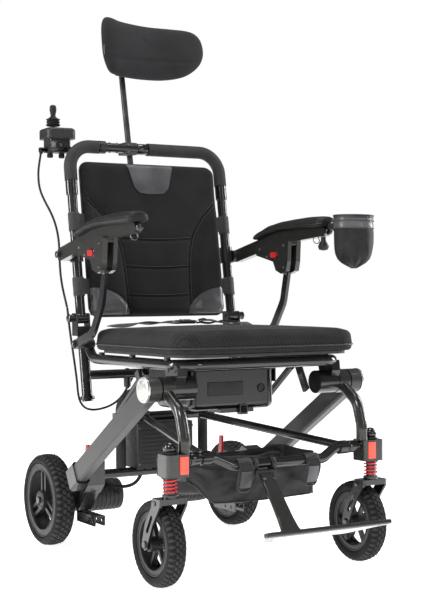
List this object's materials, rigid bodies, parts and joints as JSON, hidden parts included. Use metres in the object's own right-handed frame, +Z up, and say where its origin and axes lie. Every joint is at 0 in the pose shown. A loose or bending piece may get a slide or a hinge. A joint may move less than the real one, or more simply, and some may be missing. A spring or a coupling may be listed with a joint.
{
  "type": "power wheelchair",
  "caption": "Folding electric wheelchair with carbon frame, sprung casters, flip-up footplate, armrests, headrest, attendant joystick, under-seat bag and cup holder.",
  "frame": {"origin": "on the floor, on the chair's plane of symmetry, midway between the footplate's front edge and the back of the drive wheels", "axes": "+X to the user's left, -Y to the front, +Z up"},
  "size_m": [0.57, 0.9105, 1.2765],
  "materials": {
    "black_paint": "gloss black powder coat",
    "carbon_satin": "satin woven carbon fibre",
    "carbon_gloss": "gloss woven carbon fibre",
    "cushion_mesh": "black spacer mesh",
    "headrest_fabric": "black soft-touch fabric",
    "nylon": "black coated nylon",
    "webbing": "black woven webbing",
    "mesh_net": "black open net",
    "foam_grip": "closed-cell foam",
    "rubber_black": "matt rubber",
    "tyre_rubber": "block tread",
    "rim_grey": "satin dark grey",
    "cap_silver": "satin silver",
    "steel_dark": "dark satin steel",
    "reflector_red": "orange-red reflector",
    "spring_red": "red powder coat",
    "lever_red": "red plastic",
    "plastic_black": "matt black moulding",
    "plastic_gloss": "gloss black moulding",
    "board": "black board",
    "cable_black": "cable sheath"
  },
  "bodies": {
    "frame": {"seat_frame": "black_paint", "seat_pan": "board", "seat_cushion": "cushion_mesh", "lap_belt": "webbing", "front_arms": "carbon_gloss", "hub_pins": "cap_silver", "caster_blocks": "carbon_gloss", "reflectors": "reflector_red", "front_cross_tube": "black_paint", "frame_struts": "black_paint", "battery_tray": "plastic_black", "cargo_bag": "nylon", "bag_straps": "webbing", "joystick_cable_lower": "cable_black"},
    "battery_pack": {"battery": "plastic_gloss"},
    "rear_frame": {"rear_legs": "carbon_satin", "motor_brackets": "black_paint", "drive_motors": "plastic_black", "rear_cross_tubes": "black_paint", "foam_arch": "foam_grip", "controller_box": "plastic_black"},
    "drive_wheel_left": {"drive_tire_left": "tyre_rubber", "drive_rim_left": "rim_grey"},
    "drive_wheel_right": {"drive_tire_right": "tyre_rubber", "drive_rim_right": "rim_grey"},
    "freewheel_lever_left": {"freewheel_lever_left": "lever_red"},
    "freewheel_lever_right": {"freewheel_lever_right": "lever_red"},
    "caster_stem_left": {"caster_stem_left": "black_paint", "caster_spring_left": "spring_red"},
    "caster_stem_right": {"caster_stem_right": "black_paint", "caster_spring_right": "spring_red"},
    "caster_fork_left": {"caster_fork_left": "black_paint"},
    "caster_fork_right": {"caster_fork_right": "black_paint"},
    "caster_wheel_left": {"caster_tire_left": "tyre_rubber", "caster_rim_left": "rim_grey"},
    "caster_wheel_right": {"caster_tire_right": "tyre_rubber", "caster_rim_right": "rim_grey"},
    "backrest": {"armrest_pivot_left": "plastic_black", "armrest_pivot_right": "plastic_black", "back_frame": "black_paint", "push_grips": "foam_grip", "back_upholstery": "cushion_mesh", "back_straps": "webbing", "joystick_pod": "plastic_black", "joystick_cable_upper": "cable_black"},
    "joystick_gimbal": {"joystick_gimbal": "steel_dark"},
    "joystick_stick": {"joystick_stick": "rubber_black"},
    "headrest_post": {"headrest_post": "steel_dark"},
    "headrest": {"headrest": "headrest_fabric"},
    "armrest_left": {"armrest_left": "carbon_gloss", "arm_pad_left": "rubber_black"},
    "armrest_right": {"armrest_right": "carbon_gloss", "arm_pad_right": "rubber_black"},
    "arm_strut_left": {"arm_strut_left": "black_paint"},
    "arm_strut_right": {"arm_strut_right": "black_paint"},
    "arm_release_left": {"arm_release_left": "lever_red"},
    "arm_release_right": {"arm_release_right": "lever_red"},
    "cup_holder": {"cup_holder": "mesh_net"},
    "cup_clamp_knob": {"cup_clamp_knob": "plastic_black"},
    "footplate": {"footplate": "carbon_gloss"}
  },
  "joints": [
    {"name": "frame_fold", "type": "hinge", "parent": "frame", "child": "rear_frame", "pos_m": [0, -0.173, 0.399], "axis": [-1, 0, 0], "range_deg": [0, 30]},
    {"name": "battery_slide", "type": "slide", "parent": "frame", "child": "battery_pack", "axis": [0, -1, 0], "range_m": [0, 0.12]},
    {"name": "backrest_fold", "type": "hinge", "parent": "frame", "child": "backrest", "pos_m": [0, 0.265, 0.54], "axis": [1, 0, 0], "range_deg": [0, 25]},
    {"name": "headrest_height", "type": "slide", "parent": "backrest", "child": "headrest_post", "axis": [0, 0.1961, 0.9806], "range_m": [-0.06, 0.01]},
    {"name": "headrest_tilt", "type": "hinge", "parent": "headrest_post", "child": "headrest", "pos_m": [-0.036, 0.3842, 1.15], "axis": [1, 0, 0], "range_deg": [-15, 15]},
    {"name": "joystick_roll", "type": "hinge", "parent": "backrest", "child": "joystick_gimbal", "pos_m": [-0.22, 0.386, 1.0003], "axis": [0, 1, 0], "range_deg": [-12, 12], "stiffness_Nm_per_rad": 0.4},
    {"name": "joystick_pitch", "type": "hinge", "parent": "joystick_gimbal", "child": "joystick_stick", "pos_m": [-0.22, 0.386, 1.0003], "axis": [1, 0, 0], "range_deg": [-12, 12], "stiffness_Nm_per_rad": 0.4},
    {"name": "footplate_flip", "type": "hinge", "parent": "frame", "child": "footplate", "pos_m": [0, -0.262, 0.243], "axis": [-1, 0, 0], "range_deg": [0, 90]},
    {"name": "cup_holder_swing", "type": "hinge", "parent": "armrest_left", "child": "cup_holder", "pos_m": [0.242, -0.124, 0.745], "axis": [0, 0, 1], "range_deg": [-20, 22]},
    {"name": "cup_clamp_knob_turn", "type": "hinge", "parent": "armrest_left", "child": "cup_clamp_knob", "pos_m": [0.241, -0.088, 0.71], "axis": [0, 0, 1], "continuous": true},
    {"name": "drive_wheel_left_spin", "type": "hinge", "parent": "rear_frame", "child": "drive_wheel_left", "pos_m": [0.255, 0.35, 0.108], "axis": [1, 0, 0], "continuous": true},
    {"name": "freewheel_lever_left_swing", "type": "hinge", "parent": "rear_frame", "child": "freewheel_lever_left", "pos_m": [0.184, 0.285, 0.158], "axis": [-1, 0, 0], "range_deg": [0, 40]},
    {"name": "caster_suspension_left", "type": "slide", "parent": "frame", "child": "caster_stem_left", "axis": [0, 0, 1], "range_m": [0, 0.01], "stiffness_N_per_m": 12000, "springref_m": -0.02, "deforming": ["caster_spring_left"]},
    {"name": "caster_swivel_left", "type": "hinge", "parent": "caster_stem_left", "child": "caster_fork_left", "pos_m": [0.249, -0.248, 0.187], "axis": [0, 0, 1], "continuous": true},
    {"name": "caster_wheel_left_spin", "type": "hinge", "parent": "caster_fork_left", "child": "caster_wheel_left", "pos_m": [0.249, -0.198, 0.089], "axis": [1, 0, 0], "continuous": true},
    {"name": "armrest_follow_left", "type": "hinge", "parent": "backrest", "child": "armrest_left", "pos_m": [0.241, 0.287, 0.69], "axis": [1, 0, 0], "range_deg": [-12, 0]},
    {"name": "arm_strut_left_swing", "type": "hinge", "parent": "frame", "child": "arm_strut_left", "pos_m": [0.24, 0.219, 0.481], "axis": [1, 0, 0], "range_deg": [0, 24]},
    {"name": "arm_release_left_press", "type": "slide", "parent": "armrest_left", "child": "arm_release_left", "axis": [-1, 0, 0], "range_m": [0, 0.0022], "stiffness_N_per_m": 300},
    {"name": "drive_wheel_right_spin", "type": "hinge", "parent": "rear_frame", "child": "drive_wheel_right", "pos_m": [-0.255, 0.35, 0.108], "axis": [1, 0, 0], "continuous": true},
    {"name": "freewheel_lever_right_swing", "type": "hinge", "parent": "rear_frame", "child": "freewheel_lever_right", "pos_m": [-0.184, 0.285, 0.158], "axis": [-1, 0, 0], "range_deg": [0, 40]},
    {"name": "caster_suspension_right", "type": "slide", "parent": "frame", "child": "caster_stem_right", "axis": [0, 0, 1], "range_m": [0, 0.01], "stiffness_N_per_m": 12000, "springref_m": -0.02, "deforming": ["caster_spring_right"]},
    {"name": "caster_swivel_right", "type": "hinge", "parent": "caster_stem_right", "child": "caster_fork_right", "pos_m": [-0.249, -0.248, 0.187], "axis": [0, 0, 1], "continuous": true},
    {"name": "caster_wheel_right_spin", "type": "hinge", "parent": "caster_fork_right", "child": "caster_wheel_right", "pos_m": [-0.249, -0.198, 0.089], "axis": [1, 0, 0], "continuous": true},
    {"name": "armrest_follow_right", "type": "hinge", "parent": "backrest", "child": "armrest_right", "pos_m": [-0.241, 0.287, 0.69], "axis": [1, 0, 0], "range_deg": [-12, 0]},
    {"name": "arm_strut_right_swing", "type": "hinge", "parent": "frame", "child": "arm_strut_right", "pos_m": [-0.24, 0.219, 0.481], "axis": [1, 0, 0], "range_deg": [0, 24]},
    {"name": "arm_release_right_press", "type": "slide", "parent": "armrest_right", "child": "arm_release_right", "axis": [1, 0, 0], "range_m": [0, 0.0022], "stiffness_N_per_m": 300}
  ],
  "couplings": [
    {"joint": "armrest_follow_left", "follows": "backrest_fold", "ratio": -0.39},
    {"joint": "arm_strut_left_swing", "follows": "backrest_fold", "ratio": 0.8},
    {"joint": "armrest_follow_right", "follows": "backrest_fold", "ratio": -0.39},
    {"joint": "arm_strut_right_swing", "follows": "backrest_fold", "ratio": 0.8}
  ]
}
